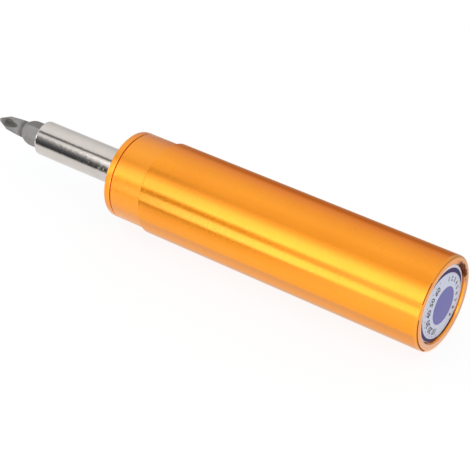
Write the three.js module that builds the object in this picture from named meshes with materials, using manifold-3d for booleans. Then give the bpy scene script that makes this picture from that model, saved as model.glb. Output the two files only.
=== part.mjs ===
// A preset torque screwdriver. Its round grip holds a ball clutch: six balls in a keyed plate
// press on face ramps of the spindle, and climb them at the torque that the spring sets. An
// adjuster behind the label sets the spring. The spindle carries a sleeve with an insert bit.
// Millimetres. The tool lies along X, tip toward -X, and its barrel rests on the plane z = 0.
// Places along the axis are stations, counted from the rear rim toward the tip.
import * as THREE from 'three';
import { mergeVertices } from 'three/addons/utils/BufferGeometryUtils.js';
import Module from 'manifold-3d';

const wasm = await Module();
wasm.setup();

// Facets round the axis
const OUTER_FACETS = 80;
const INNER_FACETS = 40;
const BIT_FACETS = 36;
const ROD_FACETS = 16;
const ROUND_STEPS = 3;

// Clearances
const SEAT_GAP = 0.2; // between two faces that rest on each other
const RUNNING_GAP = 0.15; // round a shaft in its bearing and a pin in its hole
const FIT_GAP = 0.3; // round what slides or screws in a bore
const OVERRUN = 1; // how far a cutter passes the face that it cuts

// Barrel
const BARREL_LENGTH = 86.5;
const BARREL_RADIUS = 13;
const REAR_EDGE_ROUND = 0.7;
const STEP_CHAMFER = 0.2; // at the parting line in front
const RIM_CHAMFER = 0.25; // at the mouth of the rear bore
const THREAD_WALL = 2.45; // round the threaded bore at each end
const REAR_THREAD_DEPTH = 20;
const FRONT_THREAD_DEPTH = 17;
const SPRING_WALL = 3.2; // round the spring bore

// Label and end plug
const LABEL_MARGIN = 0.65; // from the label's edge to the bore
const LABEL_RECESS = 0.55; // from the rim to the label's edge
const LABEL_RISE = 0.4; // of the dome over the edge
const LABEL_THICKNESS = 0.3; // at the edge
const PLUG_LENGTH = 4;
const PLUG_FACE = 1.6;
const PLUG_WALL = 1.3;

// Adjuster, its washer and the spring seat
const ADJUSTER_LENGTH = 8;
const ADJUSTER_BACK_OFF = 2.5; // travel toward the plug
const ADJUSTER_CHAMFER = 0.6;
const ADJUSTER_SOCKET_FLATS = 8;
const ADJUSTER_SOCKET_DEPTH = 5;
const WASHER_THICKNESS = 1;
const REAR_WASHER_BORE = 4.8;
const SEAT_THICKNESS = 2.5;
const SPIGOT_LENGTH = 3.5; // of the seat and of the clutch plate, inside the spring
const SPIGOT_CHAMFER = 0.5;

// Main spring
const WIRE_RADIUS = 1.2;
const SPRING_SIDE_GAP = 0.6; // from the coils to the spring bore
const ACTIVE_COILS = 6;
const END_COILS = 1; // closed coils at each end
const END_COIL_GAP = 0.55;
const SPRING_STEPS_PER_COIL = 12;
const WIRE_SIDES = 6;
const SPIGOT_CLEARANCE = 0.4; // from a spigot to the coils round it

// Ball clutch
const BALL_COUNT = 6;
const BALL_RADIUS = 2;
const BALL_MARGIN = 1.1; // from the balls to the plate's rim
const BALL_INSET = 0.2; // of a ball's centre in the plate
const BALL_SIDES = 12;
const BALL_RINGS = 8;
const POCKET_SIDES = 12;
const POCKET_RINGS = 10;
const PLATE_LENGTH = 6;
const RAMP_HEIGHT = 1.6;
const RAMP_REACH = 2.1; // from the ball circle inward
const RAMP_MARGIN = 0.7; // from the ramps to the flange's rim
const RAMP_STEPS = 6;
const RAMP_SPAN_SHARE = 0.975; // of a tooth's arc; the rest is its steep wall
const BALL_FROM_WALL_SHARE = 0.29; // of a tooth's arc, from the foot of the wall to the ball
const DRIVE_PIN_COUNT = 3;
const DRIVE_PIN_RADIUS = 1.5;
const DRIVE_PIN_LENGTH = 6;
const DRIVE_PIN_INSET = 0.3; // from the plate's rear face to a pin's rear end

// Spindle and its bearings
const TAIL_RADIUS = 3;
const TAIL_LENGTH = 11.4; // behind the foot of the ramps
const FLANGE_THICKNESS = 4.2;
const SHAFT_RADIUS = 4;
const STUD_RADIUS = 3;
const STUD_LENGTH = 10.8;
const STUD_CHAMFER = 0.4;
const BUSH_LENGTH = 18;
const BUSH_RADIUS = 6.4;

// Nose collar and front cap
const NOSE_STEP = 0.67; // from the barrel's surface down to the collar's
const COLLAR_HEAD_LENGTH = 9.85;
const NOSE_EDGE_CHAMFER = 0.2;
const CAP_THICKNESS = 1.9;
const CAP_FRONT_ROUND = 0.4;
const CAP_SEAT_WALL = 3.23; // of the collar round the cap's spigot
const CAP_SPIGOT_LENGTH = 2.5;
const GROOVE_WIDTH = 0.3; // between collar and cap

// Bit sleeve
const SLEEVE_RADIUS = 5;
const SLEEVE_LENGTH = 41.9;
const SLEEVE_MOUTH_CHAMFER = 0.4;
const SOCKET_DEPTH = 8.1;
const SOCKET_ROOM = 0.15; // from each flat of the bit to the socket
const SLEEVE_PIN_RADIUS = 1;
const SLEEVE_PIN_STATION = 4.3; // from the sleeve's rear end
const SLEEVE_PIN_INSET = 0.3; // of each end below the sleeve's surface
const MAGNET_RADIUS = 2.5;
const MAGNET_LENGTH = 4;
const MAGNET_INSET = 0.1;

// Insert bit
const BIT_LENGTH = 25;
const BIT_FLATS = 6.35;
const BIT_TAIL_CHAMFER = 0.6;
const BIT_TURN_DEGREES = -40; // of the bit and its socket, so that a flat and a flute face up and aside
const BIT_HEX_LENGTH = 11.8;
const SHOULDER_LENGTH = 3.1;
const SHOULDER_END_RADIUS = 2.4;
const NECK_LENGTH = 0.5;
const NECK_RADIUS = 2.25;
const SHANK_REAR_RADIUS = 2.42;
const SHANK_FRONT_RADIUS = 2.05;
const TIP_LENGTH = 3.6;
const TIP_RADIUS = 0.45;
const FLUTE_COUNT = 4;
const FLUTE_HALF_WIDTH = 1.7;
const FLUTE_TIP_DEPTH_RADIUS = 0.4; // of the flute's floor from the axis, at the tip
const FLUTE_LENGTH = 7;
const SHOULDER_STEPS = 5;

// Radii, each following from what the piece fits in
const threadBoreRadius = BARREL_RADIUS - THREAD_WALL;
const springBoreRadius = BARREL_RADIUS - SPRING_WALL;
const threadRadius = threadBoreRadius - FIT_GAP;
const slideRadius = springBoreRadius - FIT_GAP;
const labelRadius = threadBoreRadius - LABEL_MARGIN;
const springMeanRadius = springBoreRadius - SPRING_SIDE_GAP - WIRE_RADIUS;
const spigotRadius = springMeanRadius - WIRE_RADIUS - SPIGOT_CLEARANCE;
const ballCircleRadius = slideRadius - BALL_MARGIN - BALL_RADIUS;
const rampInnerRadius = ballCircleRadius - RAMP_REACH;
const rampOuterRadius = slideRadius - RAMP_MARGIN;
const washerBore = SHAFT_RADIUS + FIT_GAP;
const bushBore = SHAFT_RADIUS + RUNNING_GAP;
const collarBore = BUSH_RADIUS + RUNNING_GAP;
const noseRadius = BARREL_RADIUS - NOSE_STEP;
const capSeatRadius = noseRadius - CAP_SEAT_WALL;
const capSpigotRadius = capSeatRadius - FIT_GAP;
const sleeveHole = SLEEVE_RADIUS + FIT_GAP;
const facetInset = Math.cos(Math.PI / OUTER_FACETS);

// Stations of the rear stack, from the rear rim forward
const labelBack = LABEL_RECESS + LABEL_THICKNESS;
const plugRear = labelBack + SEAT_GAP;
const plugFront = plugRear + PLUG_LENGTH;
const adjusterRear = plugFront + ADJUSTER_BACK_OFF + SEAT_GAP;
const adjusterFront = adjusterRear + ADJUSTER_LENGTH;
const rearWasherRear = adjusterFront + SEAT_GAP;
const rearWasherFront = rearWasherRear + WASHER_THICKNESS;
const seatRear = rearWasherFront + SEAT_GAP;
const seatFront = seatRear + SEAT_THICKNESS;
const springRear = seatFront + SEAT_GAP;

// Stations of the clutch, from the collar's seat in the barrel back to the spring. A tooth climbs
// RAMP_HEIGHT along its arc, and a resting ball stands part way up it.
const barrelStep = BARREL_LENGTH - FRONT_THREAD_DEPTH;
const collarRear = barrelStep + FIT_GAP;
const frontWasherFront = collarRear - SEAT_GAP;
const frontWasherRear = frontWasherFront - WASHER_THICKNESS;
const flangeFront = frontWasherRear - SEAT_GAP;
const rampFoot = flangeFront - FLANGE_THICKNESS;
const toothArc = 2 * Math.PI / BALL_COUNT;
const rampSlope = RAMP_HEIGHT / (toothArc * RAMP_SPAN_SHARE);
const rampLean = Math.atan(rampSlope / ballCircleRadius);
const ballReach = (BALL_RADIUS + RUNNING_GAP) / Math.cos(rampLean);
const ballStation = rampFoot - ballReach - rampSlope * toothArc * BALL_FROM_WALL_SHARE;
const plateFront = ballStation + BALL_INSET;
const plateRear = plateFront - PLATE_LENGTH;
const springFront = plateRear - SEAT_GAP;
const springLength = springFront - springRear;

// Stations of the nose, the sleeve and the bit
const collarShoulder = BARREL_LENGTH + SEAT_GAP;
const collarFront = collarShoulder + COLLAR_HEAD_LENGTH;
const capRear = collarFront + GROOVE_WIDTH;
const capFront = capRear + CAP_THICKNESS;
const bushFront = collarRear + BUSH_LENGTH;
const sleeveRear = bushFront + SEAT_GAP;
const sleeveFront = sleeveRear + SLEEVE_LENGTH;
const sleevePinStation = sleeveRear + SLEEVE_PIN_STATION;
const socketFloor = sleeveFront - SOCKET_DEPTH;
const magnetFront = socketFloor - MAGNET_INSET;
const magnetRear = magnetFront - MAGNET_LENGTH;
const bitRear = socketFloor + SEAT_GAP;
const bitFront = bitRear + BIT_LENGTH;
const bitTurn = THREE.MathUtils.degToRad(BIT_TURN_DEGREES);

// Shape helpers

// Merges the shared vertices of a closed surface, drops empty triangles and faces it outward.
function closed(geometry) {
  geometry.deleteAttribute('normal');
  geometry.deleteAttribute('uv');
  const merged = mergeVertices(geometry);
  const place = merged.getAttribute('position');
  const index = merged.getIndex().array;
  const [a, b, c] = [new THREE.Vector3(), new THREE.Vector3(), new THREE.Vector3()];
  const kept = [];
  let volume = 0;
  for (let i = 0; i < index.length; i += 3) {
    const [p, q, r] = [index[i], index[i + 1], index[i + 2]];
    if (p === q || q === r || r === p) continue;
    kept.push(p, q, r);
    a.fromBufferAttribute(place, p);
    b.fromBufferAttribute(place, q);
    c.fromBufferAttribute(place, r);
    volume += a.dot(b.cross(c));
  }
  merged.setIndex(volume < 0 ? kept.reverse() : kept);
  return merged;
}

// The solid of a closed surface, for joins and cuts.
function solid(geometry) {
  const surface = closed(geometry);
  const vertProperties = new Float32Array(surface.getAttribute('position').array);
  const triVerts = new Uint32Array(surface.getIndex().array);
  return new wasm.Manifold(new wasm.Mesh({ numProp: 3, vertProperties, triVerts }));
}

// The surface of a solid.
function surfaceOf(body) {
  const mesh = body.getMesh();
  const geometry = new THREE.BufferGeometry();
  geometry.setAttribute('position', new THREE.BufferAttribute(new Float32Array(mesh.vertProperties), 3));
  geometry.setIndex(Array.from(mesh.triVerts));
  return geometry;
}

// Turns a profile of [radius, station] points about the tool's axis, a facet facing down.
function revolved(profile, facets) {
  const points = profile.map(([radius, station]) => new THREE.Vector2(radius, -station));
  return new THREE.LatheGeometry(points, facets, Math.PI / facets).rotateZ(-Math.PI / 2);
}

// A turned ring: its profile closes on itself.
function ring(profile, facets) {
  return revolved([...profile, profile[0]], facets);
}

// A plain washer between two stations.
function washer(innerRadius, outerRadius, rear, front, facets) {
  const profile = [[innerRadius, rear], [outerRadius, rear], [outerRadius, front], [innerRadius, front]];
  return ring(profile, facets);
}

// A straight rod or prism along the axis, with a corner on the +Z side.
function rod(radius, rear, front, sides) {
  const geometry = new THREE.CylinderGeometry(radius, radius, front - rear, sides);
  return geometry.rotateZ(-Math.PI / 2).translate(-(rear + front) / 2, 0, 0);
}

// A hexagonal prism along the axis, given across its flats.
function hexagon(flats, rear, front) {
  return rod(flats / 2 / Math.cos(Math.PI / 6), rear, front, 6);
}

// The points of a rounded outer edge, from the end face at the first station to the side.
function roundedEdge(radius, station, round, toward) {
  return Array.from({ length: ROUND_STEPS + 1 }, (_, i) => {
    const angle = i / ROUND_STEPS * Math.PI / 2;
    return [radius - round * (1 - Math.sin(angle)), station + toward * round * (1 - Math.cos(angle))];
  });
}

// The place of one of a ring of equal pieces, at a radius and an angle about the axis.
function aroundAxis(station, radius, angle) {
  return [-station, radius * Math.cos(angle), radius * Math.sin(angle)];
}

// Angles of the balls and of the drive pins, which lie between the balls
const ballAngles = Array.from({ length: BALL_COUNT }, (_, i) => i * toothArc);
const drivePinAngles = Array.from(
  { length: DRIVE_PIN_COUNT },
  (_, i) => toothArc / 2 + i * 2 * Math.PI / DRIVE_PIN_COUNT,
);

// Pieces

const drivePinRear = plateRear + DRIVE_PIN_INSET;
const drivePinFront = drivePinRear + DRIVE_PIN_LENGTH;

function barrel() {
  let body = solid(ring([
    [threadBoreRadius, RIM_CHAMFER],
    [threadBoreRadius + RIM_CHAMFER, 0],
    ...roundedEdge(BARREL_RADIUS, 0, REAR_EDGE_ROUND, 1),
    [BARREL_RADIUS, BARREL_LENGTH - STEP_CHAMFER],
    [BARREL_RADIUS - STEP_CHAMFER, BARREL_LENGTH],
    [threadBoreRadius, BARREL_LENGTH],
    [threadBoreRadius, barrelStep],
    [springBoreRadius, barrelStep],
    [springBoreRadius, REAR_THREAD_DEPTH],
    [threadBoreRadius, REAR_THREAD_DEPTH],
  ], OUTER_FACETS));
  for (const angle of drivePinAngles) {
    const holeRear = drivePinRear - SEAT_GAP;
    const hole = rod(DRIVE_PIN_RADIUS + RUNNING_GAP, holeRear, barrelStep + OVERRUN, ROD_FACETS);
    body = body.subtract(solid(hole.translate(...aroundAxis(0, springBoreRadius, angle))));
  }
  return surfaceOf(body);
}

function calibrationLabel() {
  const dome = Array.from({ length: ROUND_STEPS + 1 }, (_, i) => {
    const share = i / ROUND_STEPS;
    return [labelRadius * share, LABEL_RECESS - LABEL_RISE * (1 - share * share)];
  });
  return revolved([...dome, [labelRadius, labelBack], [0, labelBack]], OUTER_FACETS);
}

function endPlug() {
  const floor = plugRear + PLUG_FACE;
  const inner = threadRadius - PLUG_WALL;
  return revolved([
    [0, plugRear],
    [threadRadius, plugRear],
    [threadRadius, plugFront],
    [inner, plugFront],
    [inner, floor],
    [0, floor],
  ], INNER_FACETS);
}

function adjusterScrew() {
  const boss = REAR_WASHER_BORE - FIT_GAP;
  const body = solid(revolved([
    [0, adjusterRear],
    [threadRadius - ADJUSTER_CHAMFER, adjusterRear],
    [threadRadius, adjusterRear + ADJUSTER_CHAMFER],
    [threadRadius, adjusterFront - ADJUSTER_CHAMFER],
    [threadRadius - ADJUSTER_CHAMFER, adjusterFront],
    [boss, adjusterFront],
    [boss, rearWasherFront],
    [0, rearWasherFront],
  ], INNER_FACETS));
  const floor = adjusterRear + ADJUSTER_SOCKET_DEPTH;
  const socket = hexagon(ADJUSTER_SOCKET_FLATS, adjusterRear - OVERRUN, floor);
  return surfaceOf(body.subtract(solid(socket)));
}

function rearThrustWasher() {
  return washer(REAR_WASHER_BORE, slideRadius, rearWasherRear, rearWasherFront, INNER_FACETS);
}

function springSeat() {
  const spigotFront = seatFront + SPIGOT_LENGTH;
  return revolved([
    [0, seatRear],
    [slideRadius, seatRear],
    [slideRadius, seatFront],
    [spigotRadius, seatFront],
    [spigotRadius, spigotFront - SPIGOT_CHAMFER],
    [spigotRadius - SPIGOT_CHAMFER, spigotFront],
    [0, spigotFront],
  ], INNER_FACETS);
}

// The wire's centre line: closed coils at both ends and open coils between them.
class SpringPath extends THREE.Curve {
  constructor() {
    super();
    this.coils = ACTIVE_COILS + 2 * END_COILS;
    this.endRise = END_COILS * (2 * WIRE_RADIUS + END_COIL_GAP);
    this.rise = springLength - 2 * WIRE_RADIUS;
    this.arcLengthDivisions = this.coils * SPRING_STEPS_PER_COIL;
  }

  station(coil) {
    if (coil <= END_COILS) return this.endRise * coil / END_COILS;
    const activeRise = this.rise - 2 * this.endRise;
    const active = (coil - END_COILS) / ACTIVE_COILS;
    if (active <= 1) return this.endRise + activeRise * active;
    return this.endRise + activeRise + this.endRise * (coil - END_COILS - ACTIVE_COILS) / END_COILS;
  }

  getPoint(t, target = new THREE.Vector3()) {
    const coil = t * this.coils;
    const angle = 2 * Math.PI * coil;
    const station = springRear + WIRE_RADIUS + this.station(coil);
    return target.set(...aroundAxis(station, springMeanRadius, angle));
  }

  // The least gap between one coil and the next, measured on points of the centre line.
  leastGap() {
    const steps = this.coils * SPRING_STEPS_PER_COIL;
    const points = Array.from({ length: steps + 1 }, (_, i) => this.getPoint(i / steps));
    let least = Infinity;
    for (let i = 0; i < points.length; i += 1) {
      for (let j = i + SPRING_STEPS_PER_COIL / 2; j < points.length; j += 1) {
        least = Math.min(least, points[i].distanceTo(points[j]) - 2 * WIRE_RADIUS);
      }
    }
    return least;
  }
}

function mainSpring() {
  const path = new SpringPath();
  const section = new THREE.Shape(Array.from({ length: WIRE_SIDES }, (_, i) => {
    const angle = 2 * Math.PI * i / WIRE_SIDES;
    return new THREE.Vector2(WIRE_RADIUS * Math.cos(angle), WIRE_RADIUS * Math.sin(angle));
  }));
  console.log('main_spring least gap between coils', path.leastGap().toFixed(2), 'mm');
  const steps = path.coils * SPRING_STEPS_PER_COIL;
  return new THREE.ExtrudeGeometry(section, { steps, bevelEnabled: false, extrudePath: path });
}

function clutchPlate() {
  const spigotRear = plateRear - SPIGOT_LENGTH;
  const bore = TAIL_RADIUS + FIT_GAP;
  let body = solid(ring([
    [bore, spigotRear],
    [spigotRadius - SPIGOT_CHAMFER, spigotRear],
    [spigotRadius, spigotRear + SPIGOT_CHAMFER],
    [spigotRadius, plateRear],
    [slideRadius, plateRear],
    [slideRadius, plateFront],
    [bore, plateFront],
  ], INNER_FACETS));
  for (const angle of ballAngles) {
    const pocket = new THREE.SphereGeometry(BALL_RADIUS + FIT_GAP, POCKET_SIDES, POCKET_RINGS);
    body = body.subtract(solid(pocket.translate(...aroundAxis(ballStation, ballCircleRadius, angle))));
  }
  for (const angle of drivePinAngles) {
    const notch = rod(DRIVE_PIN_RADIUS + FIT_GAP, plateRear - OVERRUN, plateFront + OVERRUN, ROD_FACETS);
    body = body.subtract(solid(notch.translate(...aroundAxis(0, springBoreRadius, angle))));
  }
  return surfaceOf(body);
}

function clutchBall() {
  return new THREE.SphereGeometry(BALL_RADIUS, BALL_SIDES, BALL_RINGS);
}

function drivePin() {
  return rod(DRIVE_PIN_RADIUS, -DRIVE_PIN_LENGTH / 2, DRIVE_PIN_LENGTH / 2, ROD_FACETS);
}

// The ring of face ramps. Sections of [foot, top] corners follow each other round the axis, each
// tooth climbing as the angle falls, and then dropping to the next foot.
function rampRing() {
  const floor = rampFoot + FLANGE_THICKNESS / 2;
  const positions = [];
  const firstFoot = toothArc * BALL_FROM_WALL_SHARE;
  for (let tooth = 0; tooth < BALL_COUNT; tooth += 1) {
    for (let step = 0; step <= RAMP_STEPS; step += 1) {
      const share = step / RAMP_STEPS;
      const angle = firstFoot - toothArc * (tooth + share * RAMP_SPAN_SHARE);
      const top = rampFoot - RAMP_HEIGHT * share;
      positions.push(
        ...aroundAxis(floor, rampInnerRadius, angle),
        ...aroundAxis(floor, rampOuterRadius, angle),
        ...aroundAxis(top, rampOuterRadius, angle),
        ...aroundAxis(top, rampInnerRadius, angle),
      );
    }
  }
  const cornerCount = 4;
  const pointCount = positions.length / 3;
  const index = [];
  for (let first = 0; first < pointCount; first += cornerCount) {
    const next = (first + cornerCount) % pointCount;
    for (let corner = 0; corner < cornerCount; corner += 1) {
      const beside = (corner + 1) % cornerCount;
      index.push(first + corner, first + beside, next + corner);
      index.push(first + beside, next + beside, next + corner);
    }
  }
  const geometry = new THREE.BufferGeometry();
  geometry.setAttribute('position', new THREE.Float32BufferAttribute(positions, 3));
  geometry.setIndex(index);
  return geometry;
}

// A cutter across the axis for the cross pin's hole.
function crossHole(radius) {
  const length = 2 * (SLEEVE_RADIUS + OVERRUN);
  const geometry = new THREE.CylinderGeometry(radius, radius, length, ROD_FACETS);
  return geometry.translate(-sleevePinStation, 0, 0);
}

function spindle() {
  const studFront = bushFront + STUD_LENGTH;
  const tailRear = rampFoot - TAIL_LENGTH;
  const turned = solid(revolved([
    [0, tailRear],
    [TAIL_RADIUS - STUD_CHAMFER, tailRear],
    [TAIL_RADIUS, tailRear + STUD_CHAMFER],
    [TAIL_RADIUS, rampFoot],
    [slideRadius, rampFoot],
    [slideRadius, flangeFront],
    [SHAFT_RADIUS, flangeFront],
    [SHAFT_RADIUS, bushFront],
    [STUD_RADIUS, bushFront],
    [STUD_RADIUS, studFront - STUD_CHAMFER],
    [STUD_RADIUS - STUD_CHAMFER, studFront],
    [0, studFront],
  ], INNER_FACETS));
  const hole = crossHole(SLEEVE_PIN_RADIUS + RUNNING_GAP);
  return surfaceOf(turned.add(solid(rampRing())).subtract(solid(hole)));
}

function frontThrustWasher() {
  return washer(washerBore, slideRadius, frontWasherRear, frontWasherFront, INNER_FACETS);
}

function frontBush() {
  return washer(bushBore, BUSH_RADIUS, collarRear, bushFront, INNER_FACETS);
}

const capSpigotRear = capRear - CAP_SPIGOT_LENGTH;

function noseCollar() {
  const bushSeat = bushFront + SEAT_GAP / 2;
  const capSeat = capSpigotRear - SEAT_GAP;
  return ring([
    [collarBore, collarRear],
    [threadRadius, collarRear],
    [threadRadius, collarShoulder],
    [noseRadius - NOSE_EDGE_CHAMFER, collarShoulder],
    [noseRadius, collarShoulder + NOSE_EDGE_CHAMFER],
    [noseRadius, collarFront - NOSE_EDGE_CHAMFER],
    [noseRadius - NOSE_EDGE_CHAMFER, collarFront],
    [capSeatRadius, collarFront],
    [capSeatRadius, capSeat],
    [sleeveHole, capSeat],
    [sleeveHole, bushSeat],
    [collarBore, bushSeat],
  ], OUTER_FACETS);
}

function frontCap() {
  return ring([
    [sleeveHole, capSpigotRear],
    [capSpigotRadius, capSpigotRear],
    [capSpigotRadius, capRear],
    [noseRadius - NOSE_EDGE_CHAMFER, capRear],
    [noseRadius, capRear + NOSE_EDGE_CHAMFER],
    ...roundedEdge(noseRadius, capFront, CAP_FRONT_ROUND, -1).reverse(),
    [sleeveHole, capFront],
  ], OUTER_FACETS);
}

function bitSleeve() {
  const studHole = STUD_RADIUS + RUNNING_GAP;
  const studFloor = bushFront + STUD_LENGTH + SEAT_GAP;
  const magnetHole = MAGNET_RADIUS + RUNNING_GAP;
  const magnetFloor = magnetRear - SEAT_GAP;
  const body = solid(revolved([
    [0, studFloor],
    [studHole, studFloor],
    [studHole, sleeveRear],
    [SLEEVE_RADIUS, sleeveRear],
    [SLEEVE_RADIUS, sleeveFront - SLEEVE_MOUTH_CHAMFER],
    [SLEEVE_RADIUS - SLEEVE_MOUTH_CHAMFER, sleeveFront],
    [magnetHole, sleeveFront],
    [magnetHole, magnetFloor],
    [0, magnetFloor],
  ], INNER_FACETS));
  const socket = hexagon(BIT_FLATS + 2 * SOCKET_ROOM, socketFloor, sleeveFront + OVERRUN);
  socket.rotateX(bitTurn);
  const hole = crossHole(SLEEVE_PIN_RADIUS + RUNNING_GAP);
  return surfaceOf(body.subtract(solid(socket)).subtract(solid(hole)));
}

function sleevePin() {
  const length = 2 * (SLEEVE_RADIUS - SLEEVE_PIN_INSET);
  return new THREE.CylinderGeometry(SLEEVE_PIN_RADIUS, SLEEVE_PIN_RADIUS, length, ROD_FACETS);
}

function magnet() {
  return rod(MAGNET_RADIUS, magnetRear, magnetFront, 2 * ROD_FACETS);
}

// One flute between two wings of the cross tip: a square bar whose inner corner runs from near
// the axis at the tip out to the surface.
function flute(angle) {
  const climb = Math.atan((SHANK_FRONT_RADIUS - FLUTE_TIP_DEPTH_RADIUS) / FLUTE_LENGTH);
  const length = 2 * (FLUTE_LENGTH + OVERRUN);
  const bar = new THREE.CylinderGeometry(FLUTE_HALF_WIDTH, FLUTE_HALF_WIDTH, length, 4);
  bar.rotateZ(-Math.PI / 2 + climb);
  bar.translate(-bitFront, FLUTE_TIP_DEPTH_RADIUS + FLUTE_HALF_WIDTH / Math.cos(climb), 0);
  return bar.rotateX(angle);
}

function screwdriverBit() {
  const hexFront = bitRear + BIT_HEX_LENGTH;
  const shoulderFront = hexFront + SHOULDER_LENGTH;
  const shankRear = shoulderFront + NECK_LENGTH;
  const tipRear = bitFront - TIP_LENGTH;
  const cornerRadius = BIT_FLATS / 2 / Math.cos(Math.PI / 6);
  const shoulder = Array.from({ length: SHOULDER_STEPS + 1 }, (_, i) => {
    const share = i / SHOULDER_STEPS;
    const drop = (cornerRadius - SHOULDER_END_RADIUS) * share ** 2;
    return [cornerRadius - drop, hexFront + SHOULDER_LENGTH * share];
  });
  let body = solid(revolved([
    [0, bitRear],
    [cornerRadius - BIT_TAIL_CHAMFER, bitRear],
    [cornerRadius, bitRear + BIT_TAIL_CHAMFER],
    ...shoulder,
    [NECK_RADIUS, shoulderFront],
    [NECK_RADIUS, shankRear],
    [SHANK_REAR_RADIUS, shankRear],
    [SHANK_FRONT_RADIUS, tipRear],
    [TIP_RADIUS, bitFront],
    [0, bitFront],
  ], BIT_FACETS));
  body = body.intersect(solid(hexagon(BIT_FLATS, bitRear - OVERRUN, bitFront + OVERRUN)));
  for (let i = 0; i < FLUTE_COUNT; i += 1) {
    body = body.subtract(solid(flute(2 * Math.PI * i / FLUTE_COUNT)));
  }
  return surfaceOf(body).rotateX(bitTurn);
}

// Assembly

const tool = new THREE.Group();
tool.position.set(bitFront / 2, 0, BARREL_RADIUS * facetInset);

// Adds one named piece, with a material of its own.
function add(name, geometry, [color, roughness, metalness], place = [0, 0, 0]) {
  const surface = closed(geometry);
  surface.computeVertexNormals();
  const mesh = new THREE.Mesh(surface, new THREE.MeshStandardMaterial({ color, roughness, metalness }));
  mesh.name = name;
  mesh.position.set(...place);
  tool.add(mesh);
}

const ORANGE_ANODISED = [0xf08a1c, 0.25, 0.9];
const SATIN_ORANGE = [0xee8a20, 0.4, 0.85];
const NICKELLED = [0xcfc8c2, 0.2, 1];
const DARK_STEEL = [0x4a4a4c, 0.5, 0.8];
const BRIGHT_STEEL = [0xb4b6ba, 0.3, 1];
const SPRING_STEEL = [0x6c6e72, 0.4, 0.9];
const BRONZE = [0xb0813f, 0.45, 0.9];
const BLACK_PLASTIC = [0x1c1c1e, 0.6, 0];
const LABEL_FILM = [0x7d78af, 0.4, 0];
const MAGNET_NICKEL = [0xa6a6a8, 0.3, 0.9];

add('barrel', barrel(), ORANGE_ANODISED);
add('calibration_label', calibrationLabel(), LABEL_FILM);
add('end_plug', endPlug(), BLACK_PLASTIC);
add('adjuster_screw', adjusterScrew(), BRIGHT_STEEL);
add('rear_thrust_washer', rearThrustWasher(), BRIGHT_STEEL);
add('spring_seat', springSeat(), BRIGHT_STEEL);
add('main_spring', mainSpring(), SPRING_STEEL);
add('clutch_plate', clutchPlate(), DARK_STEEL);
ballAngles.forEach((angle, i) => {
  const place = aroundAxis(ballStation, ballCircleRadius, angle);
  add(`clutch_ball_${i + 1}`, clutchBall(), BRIGHT_STEEL, place);
});
drivePinAngles.forEach((angle, i) => {
  const place = aroundAxis((drivePinRear + drivePinFront) / 2, springBoreRadius, angle);
  add(`drive_pin_${i + 1}`, drivePin(), BRIGHT_STEEL, place);
});
add('spindle', spindle(), DARK_STEEL);
add('front_thrust_washer', frontThrustWasher(), BRIGHT_STEEL);
add('front_bush', frontBush(), BRONZE);
add('nose_collar', noseCollar(), SATIN_ORANGE);
add('front_cap', frontCap(), SATIN_ORANGE);
add('bit_sleeve', bitSleeve(), NICKELLED);
add('sleeve_pin', sleevePin(), BRIGHT_STEEL, [-sleevePinStation, 0, 0]);
add('magnet', magnet(), MAGNET_NICKEL);
add('screwdriver_bit', screwdriverBit(), DARK_STEEL);

export default tool;
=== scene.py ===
import math

import bmesh
import bpy
from mathutils import Matrix, Vector


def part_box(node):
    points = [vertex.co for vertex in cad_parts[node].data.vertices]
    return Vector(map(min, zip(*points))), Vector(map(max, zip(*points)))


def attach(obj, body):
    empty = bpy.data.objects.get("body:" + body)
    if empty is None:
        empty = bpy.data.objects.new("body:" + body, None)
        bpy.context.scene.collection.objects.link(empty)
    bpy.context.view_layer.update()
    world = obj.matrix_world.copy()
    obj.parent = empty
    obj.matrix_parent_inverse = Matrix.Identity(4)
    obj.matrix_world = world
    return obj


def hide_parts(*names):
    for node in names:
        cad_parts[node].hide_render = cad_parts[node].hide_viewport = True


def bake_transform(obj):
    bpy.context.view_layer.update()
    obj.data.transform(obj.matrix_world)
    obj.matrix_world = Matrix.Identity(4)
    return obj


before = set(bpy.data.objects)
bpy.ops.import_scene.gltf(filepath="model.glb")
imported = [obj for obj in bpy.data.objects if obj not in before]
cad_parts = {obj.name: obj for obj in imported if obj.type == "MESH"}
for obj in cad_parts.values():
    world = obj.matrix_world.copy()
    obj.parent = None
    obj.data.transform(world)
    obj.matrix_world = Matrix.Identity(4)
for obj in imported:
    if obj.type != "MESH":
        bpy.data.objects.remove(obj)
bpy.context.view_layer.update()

MM = 0.001
barrel_low, barrel_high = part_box("barrel")
REAR = barrel_high[0]
AXIS = (barrel_low[2] + barrel_high[2]) / 2
FULL_TURN = 2 * math.pi


# ------------------------ camera

CAMERA_AZIMUTH, CAMERA_ELEVATION = 35.74, 36.13
CAMERA_DISTANCE = 0.46736
CAMERA_TARGET = (0.00967, 0, 0.00714)
SENSOR_WIDTH, FOCAL_LENGTH = 36, 133.78


def back_vector(azimuth, elevation):
    """The direction from the target toward the camera."""
    a, e = math.radians(azimuth), math.radians(elevation)
    return Vector((math.sin(a) * math.cos(e), -math.cos(a) * math.cos(e), math.sin(e)))


camera_data = bpy.data.cameras.new("camera")
camera = bpy.data.objects.new("camera", camera_data)
bpy.context.scene.collection.objects.link(camera)
camera_data.sensor_width = SENSOR_WIDTH
camera_data.lens = FOCAL_LENGTH
camera_data.clip_start = 0.01
camera_data.clip_end = 20
toward_camera = back_vector(CAMERA_AZIMUTH, CAMERA_ELEVATION)
camera.location = Vector(CAMERA_TARGET) + CAMERA_DISTANCE * toward_camera
camera.rotation_euler = toward_camera.to_track_quat("Z", "Y").to_euler()
bpy.context.scene.camera = camera


# ------------------------ shape helpers

MERGE = 2e-7  # metres within which points are one
SHARP = 30.0  # degrees above which an edge stays sharp


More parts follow.
